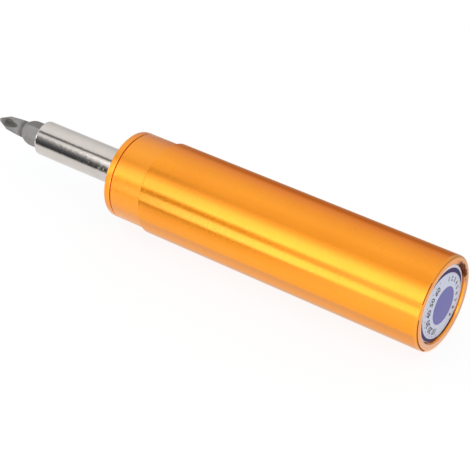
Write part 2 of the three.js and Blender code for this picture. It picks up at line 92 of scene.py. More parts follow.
def at(station, radius=0.0, angle=0.0):
    """A point by station, radius and angle about the axis, from +Y toward +Z."""
    across, up = radius * MM * math.cos(angle), radius * MM * math.sin(angle)
    return Vector((REAR - station * MM, across, AXIS + up))


def eased(corners, closed=False, steps=4):
    """Rounds the corners of a profile that have an ease."""
    out = []
    count = len(corners)
    for i, corner in enumerate(corners):
        here = Vector(corner[:2])
        ease = corner[2] if len(corner) > 2 else 0
        if not ease or (not closed and i in (0, count - 1)):
            out.append(tuple(here))
            continue
        before = Vector(corners[i - 1][:2]) - here
        after = Vector(corners[(i + 1) % count][:2]) - here
        first = here + before.normalized() * min(ease, before.length * 0.5)
        last = here + after.normalized() * min(ease, after.length * 0.5)
        for k in range(steps + 1):
            t = k / steps
            out.append(tuple((1 - t) ** 2 * first + 2 * t * (1 - t) * here + t * t * last))
    return out


def linked(name, data):
    thing = bpy.data.objects.new(name, data)
    bpy.context.scene.collection.objects.link(thing)
    return thing


def mesh_object(name, points, faces, marks=None, sharp=SHARP):
    """A named object from points in metres, closed up, faced outward and smoothly shaded."""
    mesh = bpy.data.meshes.new(name)
    mesh.from_pydata([tuple(p) for p in points], [], faces)
    if marks:
        mesh.polygons.foreach_set("material_index", marks)
    work = bmesh.new()
    work.from_mesh(mesh)
    bmesh.ops.remove_doubles(work, verts=work.verts, dist=MERGE)
    bmesh.ops.dissolve_degenerate(work, edges=work.edges, dist=MERGE)
    bmesh.ops.recalc_face_normals(work, faces=work.faces)
    if work.calc_volume(signed=True) < 0:
        bmesh.ops.reverse_faces(work, faces=work.faces)
    work.to_mesh(mesh)
    work.free()
    thing = linked(name, mesh)
    shade(thing, sharp)
    return thing


def shade(thing, sharp=SHARP):
    mesh = thing.data
    mesh.polygons.foreach_set("use_smooth", [True] * len(mesh.polygons))
    mesh.set_sharp_from_angle(angle=math.radians(sharp))
    weighted = thing.modifiers.new("weighted_normals", "WEIGHTED_NORMAL")
    weighted.keep_sharp = True
    weighted.weight = 90


class Thread:
    """The turns of a screw thread. Radii run from base, in the solid, to crest."""

    PITCH = 1.0
    LEAD = 0.6  # over which the thread runs out at either end
    HALF_FOOT, HALF_CREST = 0.38, 0.06  # of a turn's ridge, in pitches

    def __init__(self, rear, front, base, crest, shift=0.0, backward=False):
        self.rear, self.front, self.base, self.crest = rear, front, base, crest
        self.shift = shift
        self.order = -1 if backward else 1

    def radius(self, station, angle):
        u = ((station + self.PITCH * angle / FULL_TURN) / self.PITCH + self.shift) % 1.0
        height = (self.HALF_FOOT - abs(u - 0.5)) / (self.HALF_FOOT - self.HALF_CREST)
        room = min(station - self.rear, self.front - station) / self.LEAD
        return self.base + (self.crest - self.base) * min(min(max(height, 0), 1), max(room, 0))

    def rows(self, angle):
        out = [(self.rear, self.base)]
        first = math.floor(self.rear / self.PITCH) - 1
        last = math.ceil(self.front / self.PITCH) + 2
        ridge = [0.5 + side for side in
                 (-self.HALF_FOOT, -self.HALF_CREST, self.HALF_CREST, self.HALF_FOOT)]
        for turn in range(first, last + 1):
            for u in ridge:
                station = (turn + u - self.shift) * self.PITCH - self.PITCH * angle / FULL_TURN
                station = min(max(station, self.rear), self.front)
                out.append((station, self.radius(station, angle)))
        return (out + [(self.front, self.base)])[::self.order]


def turned(name, profile, segments=128, closed=False, marks=None, start=0.0, sharp=SHARP):
    """Turns a profile about the axis. An item is a point, a Thread, or a function of the angle that
    gives a point. marks gives the material index of the span after each item."""
    columns = []
    spans = None
    for j in range(segments + 1):
        turn = FULL_TURN * j / segments
        column, owner = [], []
        for i, item in enumerate(profile):
            if isinstance(item, Thread):
                rows = item.rows(turn)
            elif callable(item):
                rows = [item(start + turn)]
            else:
                rows = [item]
            column += rows
            owner += [i] * len(rows)
        columns.append([at(s, r, start + turn) for s, r in column])
        spans = owner
    height = len(columns[0])
    points = [p for column in columns for p in column]
    faces, indices = [], []
    for j in range(segments):
        here, beside = j * height, (j + 1) * height
        for k in range(height if closed else height - 1):
            after = (k + 1) % height
            faces.append((here + k, here + after, beside + after, beside + k))
            indices.append(marks[spans[k]] if marks else 0)
    return mesh_object(name, points, faces, indices if marks else None, sharp)


def moved(thing, matrix):
    thing.data.transform(matrix)
    return thing


def aside(thing, off_axis, angle):
    """Moves a turned piece off the axis."""
    across, up = off_axis * MM * math.cos(angle), off_axis * MM * math.sin(angle)
    return moved(thing, Matrix.Translation((0, across, up)))


def whole(name, thing, changes, sharp=SHARP):
    """Applies booleans: changes is a list of (operation, other object), which are used up."""
    for operation, other in changes:
        step = thing.modifiers.new("step", "BOOLEAN")
        step.operation = operation
        step.solver = "EXACT"
        step.object = other
    for modifier in [m for m in thing.modifiers if m.type == "WEIGHTED_NORMAL"]:
        thing.modifiers.remove(modifier)
    graph = bpy.context.evaluated_depsgraph_get()
    mesh = bpy.data.meshes.new_from_object(thing.evaluated_get(graph))
    for _, other in changes:
        bpy.data.objects.remove(other, do_unlink=True)
    bpy.data.objects.remove(thing, do_unlink=True)
    mesh.name = name
    result = linked(name, mesh)
    shade(result, sharp)
    return result


def about_axis(face):
    """A face's station, radius and angle in degrees about the axis."""
    station = (REAR - face.center.x) / MM
    y, z = face.center.y / MM, (face.center.z - AXIS) / MM
    return station, math.hypot(y, z), math.degrees(math.atan2(z, y)) % 360


BIT_TURN = math.radians(-40)
SIXTH = math.pi / 3


def hexagonal(station, apothem, turn=BIT_TURN):
    """A hexagon's point at an angle about the axis. Without a turn, a corner is straight up."""
    def point(angle):
        return station, apothem / math.cos((angle - turn + SIXTH / 2) % SIXTH - SIXTH / 2)
    return point


# ------------------------ materials

class Nodes:
    """Helpers for the nodes and links of one tree."""

    def __init__(self, tree):
        self.tree = tree

    def add(self, kind, **settings):
        node = self.tree.nodes.new(kind)
        for key, value in settings.items():
            setattr(node, key, value)
        return node

    def link(self, source, target):
        self.tree.links.new(source, target)

    def math(self, operation, a, b=None, clamp=False):
        node = self.add("ShaderNodeMath", operation=operation, use_clamp=clamp)
        for socket, value in zip(node.inputs, (a, b)):
            if value is None:
                continue
            if isinstance(value, (int, float)):
                socket.default_value = value
            else:
                self.link(value, socket)
        return node.outputs[0]

    def axes(self, vector):
        split = self.add("ShaderNodeSeparateXYZ")
        self.link(vector, split.inputs[0])
        return split.outputs

    def span(self, value, low, high, from_low=0.0, from_high=1.0, kind="LINEAR"):
        """Carries a value from one range to another."""
        node = self.add("ShaderNodeMapRange", interpolation_type=kind)
        node.inputs["From Min"].default_value = from_low
        node.inputs["From Max"].default_value = from_high
        node.inputs["To Min"].default_value = low
        node.inputs["To Max"].default_value = high
        self.link(value, node.inputs["Value"])
        return node.outputs["Result"]

    def blend(self, factor, a, b):
        node = self.add("ShaderNodeMix", data_type="RGBA")
        self.link(factor, node.inputs["Factor"])
        for socket, value in ((node.inputs["A"], a), (node.inputs["B"], b)):
            if isinstance(value, tuple):
                socket.default_value = (*value, 1)
            else:
                self.link(value, socket)
        return node.outputs["Result"]


class Finish(Nodes):
    """A material on a Principled shader."""

    def __init__(self, name, roughness, metallic=0.0):
        self.material = bpy.data.materials.new(name)
        self.material.use_nodes = True
        super().__init__(self.material.node_tree)
        self.shader = self.tree.nodes["Principled BSDF"]
        self.set("Roughness", roughness)
        self.set("Metallic", metallic)
        self.place = self.add("ShaderNodeTexCoord").outputs["Object"]

    def set(self, socket, value):
        self.shader.inputs[socket].default_value = value

    def side(self, letter):
        return self.axes(self.place)[letter]

    def noise(self, scale, detail=3.0, stretch=(1, 1, 1)):
        mapping = self.add("ShaderNodeMapping")
        mapping.inputs["Scale"].default_value = [scale * s for s in stretch]
        self.link(self.place, mapping.inputs["Vector"])
        node = self.add("ShaderNodeTexNoise")
        node.inputs["Scale"].default_value = 1
        node.inputs["Detail"].default_value = detail
        node.inputs["Roughness"].default_value = 0.55
        self.link(mapping.outputs[0], node.inputs["Vector"])
        return node.outputs["Fac"]

    def rings(self, scale, detail=2.0):
        """Noise that changes only along the axis, as turning marks do."""
        node = self.add("ShaderNodeTexNoise", noise_dimensions="1D")
        node.inputs["Scale"].default_value = scale
        node.inputs["Detail"].default_value = detail
        self.link(self.side("X"), node.inputs["W"])
        return node.outputs["Fac"]

    def turn(self):
        """Degrees about the axis, from +Y over the top, up to 360."""
        up = self.math("SUBTRACT", self.side("Z"), AXIS)
        share = self.math("DIVIDE", self.math("ARCTAN2", up, self.side("Y")), FULL_TURN)
        return self.math("MULTIPLY", self.math("FRACT", share), 360)

    def window(self, value, low, high, rising, falling):
        """One between two values and nothing elsewhere, with soft ends."""
        above = self.math("SUBTRACT", value, low - rising)
        below = self.math("SUBTRACT", high + falling, value)
        rise = self.math("DIVIDE", above, rising, clamp=True)
        return self.math("MULTIPLY", rise, self.math("DIVIDE", below, falling, clamp=True))

    def ragged(self, value, scale, detail, reach):
        """Shifts a value by coarse noise, either way by up to reach."""
        shift = self.span(self.noise(scale, detail), -reach, reach, 0.3, 0.7)
        return self.math("ADD", value, shift)

    def arc(self, low, high, edge, reach=0.0):
        """A window of angles about the axis, with ragged ends if a reach is given."""
        turn = self.turn()
        if reach:
            turn = self.ragged(turn, 900, 3, reach)
        return self.window(turn, low, high, edge, edge)

    def zone(self, low, high, rising, falling):
        """A window of stations."""
        station = self.math("DIVIDE", self.math("SUBTRACT", REAR, self.side("X")), MM)
        return self.window(station, low, high, rising, falling)

    def within(self, radius, edge, reach):
        """One inside a radius, with a ragged edge."""
        up = self.math("SUBTRACT", self.side("Z"), AXIS)
        squares = [self.math("MULTIPLY", each, each) for each in (up, self.side("Y"))]
        out = self.math("DIVIDE", self.math("SQRT", self.math("ADD", *squares)), MM)
        return self.window(self.ragged(out, 1100, 4, reach), 0, radius, 1, edge)

    def mark(self, mask, colour, roughness=None):
        """Lays another colour over the base colour where the mask is one."""
        under = self.shader.inputs["Base Color"].links[0].from_socket
        self.colour(self.blend(mask, under, colour))
        if roughness is not None:
            rough = self.shader.inputs["Roughness"].links[0].from_socket
            self.roughness(self.math("MAXIMUM", rough, self.math("MULTIPLY", mask, roughness)))

    def colour(self, value):
        self.link(value, self.shader.inputs["Base Color"])

    def roughness(self, value):
        self.link(value, self.shader.inputs["Roughness"])

    def bump(self, *layers):
        """Layers of (height, depth in millimetres)."""
        normal = None
        for height, depth in layers:
            node = self.add("ShaderNodeBump")
            node.inputs["Strength"].default_value = 1
            node.inputs["Distance"].default_value = depth * MM
            self.link(height, node.inputs["Height"])
            if normal:
                self.link(normal, node.inputs["Normal"])
            normal = node.outputs["Normal"]
        self.link(normal, self.shader.inputs["Normal"])

    def turned_lines(self, anisotropy):
        tangent = self.add("ShaderNodeTangent", direction_type="RADIAL", axis="X")
        self.link(tangent.outputs[0], self.shader.inputs["Tangent"])
        self.set("Anisotropic", anisotropy)
        self.set("Anisotropic Rotation", 0.25)


def anodised(name, colours, roughness, coat, lines, depth, grain, spread=0.03, skin=1.0,
             pebble=1300):
    """Dyed aluminium: metal in two clouded colours under a thin clear skin. lines is the scale of
    its turning marks, depth and grain are the depths of those and of its pebbled grain."""
    colour, deep = colours
    finish = Finish(name, roughness, 1.0)
    finish.set("Coat Weight", skin)
    finish.set("Coat IOR", 1.4)
    finish.set("Coat Roughness", coat)
    cloud = finish.noise(55, 4)
    finish.colour(finish.blend(finish.span(cloud, 0, 1, 0.3, 0.7), deep, colour))
    marks_left = finish.rings(lines, 3) if lines else finish.noise(500, 3)
    finish.roughness(finish.span(marks_left, roughness - spread, roughness + spread, 0.25, 0.75))
    finish.bump((marks_left, depth), (finish.noise(pebble, 3), grain))
    finish.turned_lines(0.4)
    return finish


def steel(name, colours, roughness, scale=400, depth=0.002, lines=None, metallic=1.0, spread=0.05,
          grain_length=1.0):
    """Steel or bronze in two clouded colours, with turning marks if lines is given."""
    colour, deep = colours
    finish = Finish(name, roughness, metallic)
    cloud = finish.noise(scale * 0.3, 4)
    finish.colour(finish.blend(finish.span(cloud, 0, 1, 0.3, 0.7), deep, colour))
    wear = finish.noise(scale * 0.6, 3)
    finish.roughness(finish.span(wear, roughness - spread, roughness + spread, 0.3, 0.7))
    layers = [(finish.noise(scale * 3, 3, (grain_length, 1, 1)), depth)]
    if lines:
        layers.append((finish.rings(lines), depth))
        finish.turned_lines(0.3)
    finish.bump(*layers)
    return finish


ORANGE = ((0.94, 0.325, 0.010), (0.91, 0.300, 0.008))
SATIN_ORANGE = ((0.94, 0.330, 0.012), (0.91, 0.310, 0.010))
RIM_ORANGE = ((0.70, 0.31, 0.12), (0.62, 0.27, 0.10))
EDGE_ORANGE = ((0.80, 0.36, 0.13), (0.74, 0.32, 0.11))
# The colours of a painted dark reflection on the rim's rounded edge.
DARK_REFLECTION_COLOURS = ((0.20, 0.055, 0.010), (0.060, 0.014, 0.003))
DULL_IOR = 1.1  # of the rim's dark patch and of the painted dark reflection, which hardly shine

polished = anodised("orange_anodised_polished", ORANGE, 0.18, 0.10, 1600, 0.0005, 0.014,
                    skin=0.85, pebble=1800)
specks = polished.span(polished.noise(2300, 2), 0, 0.25, 0.46, 0.74)
polished.mark(specks, (0.76, 0.235, 0.006))
faced = anodised("orange_anodised_faced", RIM_ORANGE, 0.30, 0.20, 3000, 0.0010, 0.002, skin=0.3)
throat = anodised("orange_anodised_throat", ORANGE, 0.22, 0.10, 1600, 0.0005, 0.002)
edge = anodised("orange_anodised_edge", ORANGE, 0.22, 0.12, 1600, 0.0005, 0.002)
# The rim's inner edge, a lighter orange, which carries a painted highlight on one side.
bare_and_highlight = anodised("cut_edge_and_highlight", EDGE_ORANGE, 0.30, 0.20, 3000, 0.0008, 0.002, skin=0.4)
spot = anodised("orange_anodised_spotted", RIM_ORANGE, 0.34, 0.25, 3000, 0.0008, 0.004, skin=0.05)
# A painted dark reflection, dull and not metallic, for stretches of the rim's rounded edge.
painted_dark_reflection = anodised("orange_anodised_painted_dark_reflection", DARK_REFLECTION_COLOURS, 0.45, 0.30, 1600, 0.0008, 0.004, skin=0.0)
painted_dark_reflection.set("Metallic", 0.0)
painted_dark_reflection.set("IOR", DULL_IOR)
satin = anodised("orange_anodised_satin", SATIN_ORANGE, 0.28, 0.22, None, 0.0010, 0.0030, 0.02)
nickel = steel("nickel_plate", ((0.67, 0.62, 0.58), (0.61, 0.57, 0.54)), 0.035, 650, 0.018,
               spread=0.012, grain_length=0.35)

# The rear rim's face is pinker from the lower left to the bottom, and a deeper orange from the
# upper right over the top to the left. Its inner edge has a painted highlight over the top and
# left, and a ragged dark brown patch lies by the bore at the upper right.
faced.mark(faced.arc(205, 275, 25), (0.78, 0.38, 0.20))
faced.mark(faced.arc(62, 190, 22), (0.90, 0.33, 0.045))
# Painted highlight: the inner edge is paler over the top and left.
bare_and_highlight.mark(bare_and_highlight.arc(88, 192, 14), (0.93, 0.70, 0.56))
deep_shade = throat.math("MULTIPLY", throat.arc(276, 312, 10), throat.zone(0.55, 3, 0.25, 1))
throat.mark(deep_shade, (0.14, 0.030, 0.006))
# The painted dark reflection is browner from 158 to 240 degrees.
painted_dark_reflection.mark(painted_dark_reflection.arc(158, 240, 2), (0.30, 0.085, 0.014))
# A ragged dark brown patch by the bore at the upper right, duller and less metallic.
dark_patch = spot.math("MULTIPLY", spot.arc(13, 48, 5, 9), spot.within(11.45, 0.3, 0.45))
dark_patch_cloud = spot.span(spot.noise(1700, 3), 0, 1, 0.35, 0.65)
spot.mark(dark_patch, spot.blend(dark_patch_cloud, (0.045, 0.008, 0.001), (0.26, 0.055, 0.008)), 0.5)
spot.link(spot.math("SUBTRACT", 1, dark_patch), spot.shader.inputs["Metallic"])
spot.set("IOR", DULL_IOR)

# Painted shade darkens the bit's neck and the flat that faces up.
phosphate = steel("phosphated_steel", ((0.30, 0.29, 0.285), (0.23, 0.22, 0.22)), 0.5, 900, 0.004,
                  metallic=0.35)
neck_shade = phosphate.math("MULTIPLY", phosphate.zone(136.9, 137.5, 0.05, 1.3), 0.8)
phosphate.mark(neck_shade, (0.105, 0.100, 0.096))
upper_flat_shade = phosphate.math("MULTIPLY", phosphate.arc(50, 110, 3),
                            phosphate.zone(120, 135.3, 1, 0.6))
phosphate.mark(phosphate.math("MULTIPLY", upper_flat_shade, 0.6), (0.125, 0.120, 0.117))
# Painted shade for the insides of the flutes: the same steel, darker.
flute_shade = steel("painted_flute_shade", ((0.185, 0.178, 0.162), (0.135, 0.130, 0.118)), 0.5, 900, 0.004,
              metallic=0.35)

ground = steel("ground_steel", ((0.60, 0.60, 0.61), (0.54, 0.54, 0.55)), 0.24, 500, 0.001, 2500)
oiled = steel("oiled_steel", ((0.20, 0.195, 0.19), (0.15, 0.147, 0.145)), 0.34, 600, 0.002, 2200)
wire = steel("spring_wire", ((0.36, 0.36, 0.37), (0.28, 0.28, 0.29)), 0.30, 800, 0.002)
bronze = steel("bush_bronze", ((0.62, 0.40, 0.18), (0.52, 0.32, 0.13)), 0.36, 500, 0.003, 2000)
plated = steel("magnet_nickel", ((0.62, 0.60, 0.58), (0.58, 0.56, 0.54)), 0.16, 300, 0.001)

plastic = Finish("moulded_plastic", 0.5)
plastic.colour(plastic.blend(plastic.noise(300, 3), (0.016, 0.016, 0.017), (0.028, 0.028, 0.030)))
plastic.roughness(plastic.span(plastic.noise(500, 2), 0.42, 0.56))
plastic.bump((plastic.noise(2500, 3), 0.006))

# The label is printed film. Its print lies a little off the disc's middle: each place is (y, z)
# from the axis. The pale field is an oval, squeezed along one direction. The dark ring is partly
# print and partly painted shade of the gap round the label, wide where that gap falls dark.
LABEL_RIM = 10.45
RING_MIDDLE, RING_RADIUS = (0.1, -0.50), 9.95
FIELD_MIDDLE, FIELD_RADIUS = (0.35, -0.95), 10.1
FIELD_TURN, FIELD_SQUEEZE = math.radians(48), 10.1 / 8.9
DOT_MIDDLE, DOT_RADIUS = (0.80, -1.08), 5.2
FIGURES_MIDDLE = (0.50, -0.85)
PRINT_EDGE = 0.04  # half the width of a printed edge
film = Finish("label_film", 0.45)
film.set("Specular IOR Level", 0.2)
sides = film.axes(film.place)


def from_middle(middle, turn=0.0, squeeze=1.0):
    """The distance from a point of the label, or that of an oval squeezed along one direction."""
    dy = film.math("SUBTRACT", sides["Y"], middle[0] * MM)
    dz = film.math("SUBTRACT", sides["Z"], AXIS + middle[1] * MM)
    cos, sin = math.cos(turn), math.sin(turn)
    along = film.math("ADD", film.math("MULTIPLY", dy, cos * squeeze),
                      film.math("MULTIPLY", dz, sin * squeeze))
    beside = film.math("SUBTRACT", film.math("MULTIPLY", dz, cos), film.math("MULTIPLY", dy, sin))
    return film.math("SQRT", film.math("ADD", film.math("MULTIPLY", along, along),
                                       film.math("MULTIPLY", beside, beside)))


def disc(distance, radius):
    return film.span(distance, 1, 0, (radius - PRINT_EDGE) * MM, (radius + PRINT_EDGE) * MM)


paper_grain = film.noise(700, 4)
print_grain = film.noise(2600, 3)
# The ring's dark colour stands for print and for painted shade of the gap round the label.
ring_ink_and_shade = film.blend(print_grain, (0.020, 0.010, 0.085), (0.038, 0.020, 0.130))
pale_ink = film.blend(paper_grain, (0.58, 0.61, 0.74), (0.66, 0.69, 0.81))
dot_ink = film.blend(print_grain, (0.145, 0.140, 0.390), (0.185, 0.180, 0.450))
field = disc(from_middle(FIELD_MIDDLE, FIELD_TURN, FIELD_SQUEEZE), FIELD_RADIUS)
shown = film.blend(disc(from_middle(RING_MIDDLE), RING_RADIUS), (0.74, 0.72, 0.80), ring_ink_and_shade)
shown = film.blend(field, shown, pale_ink)
shown = film.blend(disc(from_middle(DOT_MIDDLE), DOT_RADIUS), shown, dot_ink)
film.colour(shown)
film.roughness(film.span(print_grain, 0.40, 0.50))
film.bump((print_grain, 0.002))

ink = Finish("printed_figures", 0.4)
ink.colour(ink.blend(ink.noise(2500, 3), (0.030, 0.030, 0.045), (0.060, 0.060, 0.080)))
ink.roughness(ink.span(ink.noise(2500, 2), 0.34, 0.46))


def dress(thing, body, slot, finish, replaces=(), *others):
    """Gives a piece its materials and body, and hides the CAD nodes that it stands for. The slot is
    not used.
    """
    for each in (finish, *others):
        thing.data.materials.append(each.material)
    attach(thing, body)
    if replaces:
        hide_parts(*replaces)
    return thing


# ------------------------ grip: barrel, collar and cap

BARREL, BARREL_FRONT = 12.985, 86.5
NOSE = 12.32  # radius of collar and cap
THREAD_BORE, THREAD_BORE_CREST = 10.55, 10.17
SPRING_BORE, SPRING_BORE_REAR, SPRING_BORE_FRONT = 9.8, 20.0, 69.5
SCREW_ROOT, SCREW_CREST = 10.05, 10.43  # of the threads on collar and adjuster
COLLAR_REAR, COLLAR_HEAD, COLLAR_FRONT = 69.8, 86.95, 96.52
CAP_REAR, CAP_LIP, CAP_FLANGE, CAP_FRONT = 94.35, 96.61, 96.85, 98.75
LIP = 11.7  # radius of the step in the groove behind the cap's flange
SHAFT_BORE = 5.3
GRIP_SEGMENTS = 192

# The barrel's materials, by index.
POLISHED, FACED, BARE_AND_HIGHLIGHT, THROAT, EDGE, SPOT, DARK_REFLECTION = range(7)
REAR_ROUND = 0.8
corner = eased([(0.0, 11.38), (0.0, BARREL, REAR_ROUND), (1.61, BARREL)], steps=10)
groups = [
    (THROAT, eased([(1.3, THREAD_BORE), (0.32, THREAD_BORE, 0.05), (0.04, 10.80)])),
    (BARE_AND_HIGHLIGHT, [(0.0, 10.84)]),
    (FACED, [(0.0, 11.04)] + corner[:1] + [(0.0, 11.80)]),
    (EDGE, corner[1:-2]),
    (POLISHED, corner[-2:] + eased([
        (2.5, BARREL), (BARREL_FRONT, BARREL, 0.03), (BARREL_FRONT, 10.75, 0.05),
        (86.3, THREAD_BORE),
    ])),
    (POLISHED, [Thread(70.3, 85.9, THREAD_BORE, THREAD_BORE_CREST, shift=0.5, backward=True)]),
    (POLISHED, eased([
        (69.6, THREAD_BORE), (SPRING_BORE_FRONT, THREAD_BORE, 0.1),
        (SPRING_BORE_FRONT, SPRING_BORE, 0.1), (SPRING_BORE_REAR, SPRING_BORE, 0.1),
        (SPRING_BORE_REAR, THREAD_BORE, 0.1), (19.6, THREAD_BORE),
    ])),
    (POLISHED, [Thread(6.5, 19.4, THREAD_BORE, THREAD_BORE_CREST, shift=0.5, backward=True)]),
]
profile = [item for _, items in groups for item in items]
marks = [mark for mark, items in groups for _ in items]
barrel = turned("grip_barrel", profile, GRIP_SEGMENTS, closed=True, marks=marks)
dress(barrel, "handle", "orange_anodised", polished, ["barrel"],
      faced, bare_and_highlight, throat, edge, spot, painted_dark_reflection)
# The dark patch on the rim, and the stretches of the rounded edge with a painted dark reflection.
for face in barrel.data.polygons:
    s, radius, turn = about_axis(face)
    if s < 1.5 and radius < 11.8 and 0 < turn < 62:
        face.material_index = SPOT
    if 0.001 < s < REAR_ROUND and radius > 12.1:
        share = math.sqrt(s / REAR_ROUND)
        if (122 < turn < 149 and 0.29 < share < 0.52) or (166 < turn < 230 and 0.1 < share < 0.4):
            face.material_index = DARK_REFLECTION

collar_thread = Thread(70.2, 86.2, SCREW_ROOT, SCREW_CREST)
collar = turned("grip_collar", eased([
    (COLLAR_REAR, 6.55, 0.1), (COLLAR_REAR, 9.75, 0.08), (70.2, SCREW_ROOT),
]) + [collar_thread] + eased([
    (86.2, SCREW_ROOT), (COLLAR_HEAD, SCREW_ROOT, 0.08), (COLLAR_HEAD, NOSE, 0.05),
    (COLLAR_FRONT, NOSE, 0.14), (COLLAR_FRONT, 9.1, 0.1), (94.15, 9.1, 0.1),
    (94.15, SHAFT_BORE, 0.1), (87.9, SHAFT_BORE, 0.1), (87.9, 6.55, 0.1), (COLLAR_REAR, 6.55),
]), GRIP_SEGMENTS, closed=True)
dress(collar, "handle", "orange_satin", satin, ["nose_collar"])

cap = turned("collar_cap", eased([
    (CAP_REAR, SHAFT_BORE, 0.1), (CAP_REAR, 8.8, 0.15), (CAP_LIP, 8.8, 0.05),
    (CAP_LIP, LIP, 0.03), (CAP_FLANGE, LIP, 0.03), (CAP_FLANGE, NOSE, 0.26),
    (CAP_FRONT, NOSE, 0.42), (CAP_FRONT, SHAFT_BORE, 0.15),
], closed=True, steps=5), GRIP_SEGMENTS, closed=True)
dress(cap, "handle", "orange_satin", satin, ["front_cap"])


# ------------------------ sleeve, magnet, cross pin and bit

SLEEVE, SLEEVE_REAR, SLEEVE_FRONT = 5.0, 88.0, 129.9
STUD, STUD_FRONT = 3.15, 98.8  # the hole for the spindle's stud
SOCKET_FLOOR = 121.8
PIN_STATION = 92.3

sleeve_profile = eased([
    (STUD_FRONT, 0), (STUD_FRONT, STUD, 0.1), (SLEEVE_REAR, STUD, 0.15),
    (SLEEVE_REAR, SLEEVE, 0.25), (SLEEVE_FRONT, SLEEVE, 0.42), (SLEEVE_FRONT, 4.42, 0.05),
])
sleeve = turned("sleeve_body", sleeve_profile + [
    hexagonal(SLEEVE_FRONT, 3.66), hexagonal(129.78, 3.55), hexagonal(129.55, 3.325),
    hexagonal(SOCKET_FLOOR, 3.325), (SOCKET_FLOOR, 2.65), (117.5, 2.65), (117.5, 0),
], 96, start=BIT_TURN)


def cross_rod(radius, half_length, ease=0.0):
    """A rod that stands upright across the axis."""
    rod = turned("cross", eased([
        (-half_length, 0), (-half_length, radius, ease),
        (half_length, radius, ease), (half_length, 0),
    ]), 32)
    moved(rod, Matrix.Translation((-REAR, 0, -AXIS)))
    moved(rod, Matrix.Rotation(math.pi / 2, 4, "Y"))
    return moved(rod, Matrix.Translation(at(PIN_STATION)))


PIN_HOLE = (1.15, 6)  # radius and half length
sleeve = whole("sleeve_body", sleeve, [("DIFFERENCE", cross_rod(*PIN_HOLE))])
dress(sleeve, "driver", "nickelled_steel", nickel, ["bit_sleeve"])

pin = cross_rod(1.0, 4.7, 0.15)
pin.name = "sleeve_cross_pin"
dress(pin, "driver", "bright_steel", ground, ["sleeve_pin"])

magnet = turned("sleeve_magnet", eased([
    (117.7, 0), (117.7, 2.5, 0.2), (121.7, 2.5, 0.2), (121.7, 0),
]), 64)
dress(magnet, "driver", "magnet_nickel", plated, ["magnet"])

HEX_APOTHEM = 6.35 / 2
BIT_REAR, BIT_TIP = 122.0, 146.95
HEX_CORNER = 3.62  # radius to which the hexagon's corners are turned
SHOULDER_REAR, SHOULDER_LENGTH, SHOULDER_FOOT, SHOULDER_STEPS = 133.8, 3.1, 2.40, 12
SHANK_REAR, SHANK_REAR_RADIUS = 137.46, 2.42
CONE_REAR, CONE_REAR_RADIUS = 142.9, 2.36
CONE_FRONT, CONE_FRONT_RADIUS = 146.65, 0.62

shoulder = []
for k in range(SHOULDER_STEPS + 1):
    share = k / SHOULDER_STEPS
    radius = HEX_CORNER - (HEX_CORNER - SHOULDER_FOOT) * share ** 2
    shoulder.append((SHOULDER_REAR + SHOULDER_LENGTH * share, radius))
blank = turned("blank", eased([
    (BIT_REAR, 0), (BIT_REAR, 3.0, 0.1), (122.6, HEX_CORNER, 0.1),
]) + shoulder + eased([
    (136.9, SHOULDER_FOOT, 0.05), (137.02, 2.30, 0.08), (137.34, 2.30, 0.1),
    (SHANK_REAR, SHANK_REAR_RADIUS, 0.08), (CONE_REAR, CONE_REAR_RADIUS, 0.3),
    (CONE_FRONT, CONE_FRONT_RADIUS, 0.15), (BIT_TIP, 0.40, 0.05), (BIT_TIP, 0),
]), 96)
prism = turned("prism", [
    (121.0, 0), hexagonal(121.0, HEX_APOTHEM), hexagonal(148.0, HEX_APOTHEM), (148.0, 0),
], 6, start=BIT_TURN + math.pi / 6)

FLUTES = 4
WHEEL, WHEEL_STATION, WHEEL_OUT = 12.0, 145.2, 12.31  # radius, and place of its middle
WHEEL_STEPS, WHEEL_ROWS, WHEEL_HALF_WIDTH = 160, 14, 3.2
WHEEL_ROUND, WHEEL_SLOPE = 0.22, 1.25  # of the V edge


def flute_wheel(angle):
    """The grinding wheel that leaves one flute: a disc with a rounded V edge, standing in the
    plane of the bit's axis and the flute."""
    points, faces = [], []
    widths = [WHEEL_HALF_WIDTH * (k / WHEEL_ROWS * 2 - 1) for k in range(WHEEL_ROWS + 1)]
    for j in range(WHEEL_STEPS):
        turn = FULL_TURN * j / WHEEL_STEPS
        for w in widths:
            r = WHEEL - (math.sqrt(w * w + WHEEL_ROUND ** 2) - WHEEL_ROUND) * WHEEL_SLOPE
            station = WHEEL_STATION - r * math.cos(turn)
            points.append((station, WHEEL_OUT + r * math.sin(turn), w))
    rows = len(widths)
    for j in range(WHEEL_STEPS):
        here, beside = j * rows, (j + 1) % WHEEL_STEPS * rows
        for k in range(rows - 1):
            faces.append((here + k, here + k + 1, beside + k + 1, beside + k))
    faces.append(tuple(j * rows for j in range(WHEEL_STEPS)))
    faces.append(tuple(j * rows + rows - 1 for j in reversed(range(WHEEL_STEPS))))
    cos, sin = math.cos(angle), math.sin(angle)
    placed = [(REAR - s * MM, (r * cos - w * sin) * MM, AXIS + (r * sin + w * cos) * MM)
              for s, r, w in points]
    return mesh_object("wheel", placed, faces)


wheels = [flute_wheel(BIT_TURN + k * FULL_TURN / FLUTES) for k in range(FLUTES)]
grinding = [("DIFFERENCE", wheel) for wheel in wheels]
bit = whole("insert_bit", blank, [("INTERSECT", prism)] + grinding, 28)
dress(bit, "bit", "bit_steel", phosphate, ["screwdriver_bit"], flute_shade)


def blank_radius(station):
    """The bit's round outline from the neck forward."""
    if station < CONE_REAR:
        share = (station - SHANK_REAR) / (CONE_REAR - SHANK_REAR)
        return SHANK_REAR_RADIUS + (CONE_REAR_RADIUS - SHANK_REAR_RADIUS) * share
    share = (station - CONE_REAR) / (CONE_FRONT - CONE_REAR)
    return CONE_REAR_RADIUS + (CONE_FRONT_RADIUS - CONE_REAR_RADIUS) * share


PHOSPHATE, FLUTE_SHADE = range(2)
